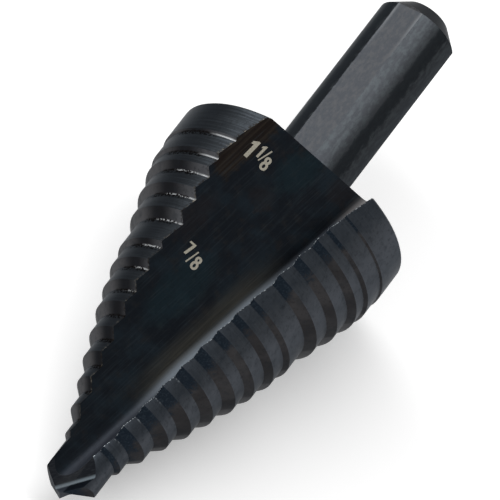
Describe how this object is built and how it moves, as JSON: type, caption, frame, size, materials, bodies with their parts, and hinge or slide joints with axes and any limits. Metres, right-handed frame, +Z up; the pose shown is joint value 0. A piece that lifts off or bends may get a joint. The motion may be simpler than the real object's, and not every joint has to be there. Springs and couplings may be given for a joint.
{
  "type": "step drill",
  "caption": "Step drill for sheet metal: a split point that starts its own hole, a fluted cone of steps that opens it in stages, and a round shank with flats for a drill chuck.",
  "frame": {"origin": "centre of the bottom of the drill as it lies at rest on one flute, on the table", "axes": "+X along the drill's length from the point to the shank, +Z up; the shank rises toward +X, and the other flute opens upward"},
  "size_m": [0.0694, 0.0286, 0.0263],
  "materials": {
    "drill_steel": "steam-tempered, dark blue-grey satin"
  },
  "bodies": {
    "root": {"step_drill": "drill_steel"}
  },
  "joints": []
}
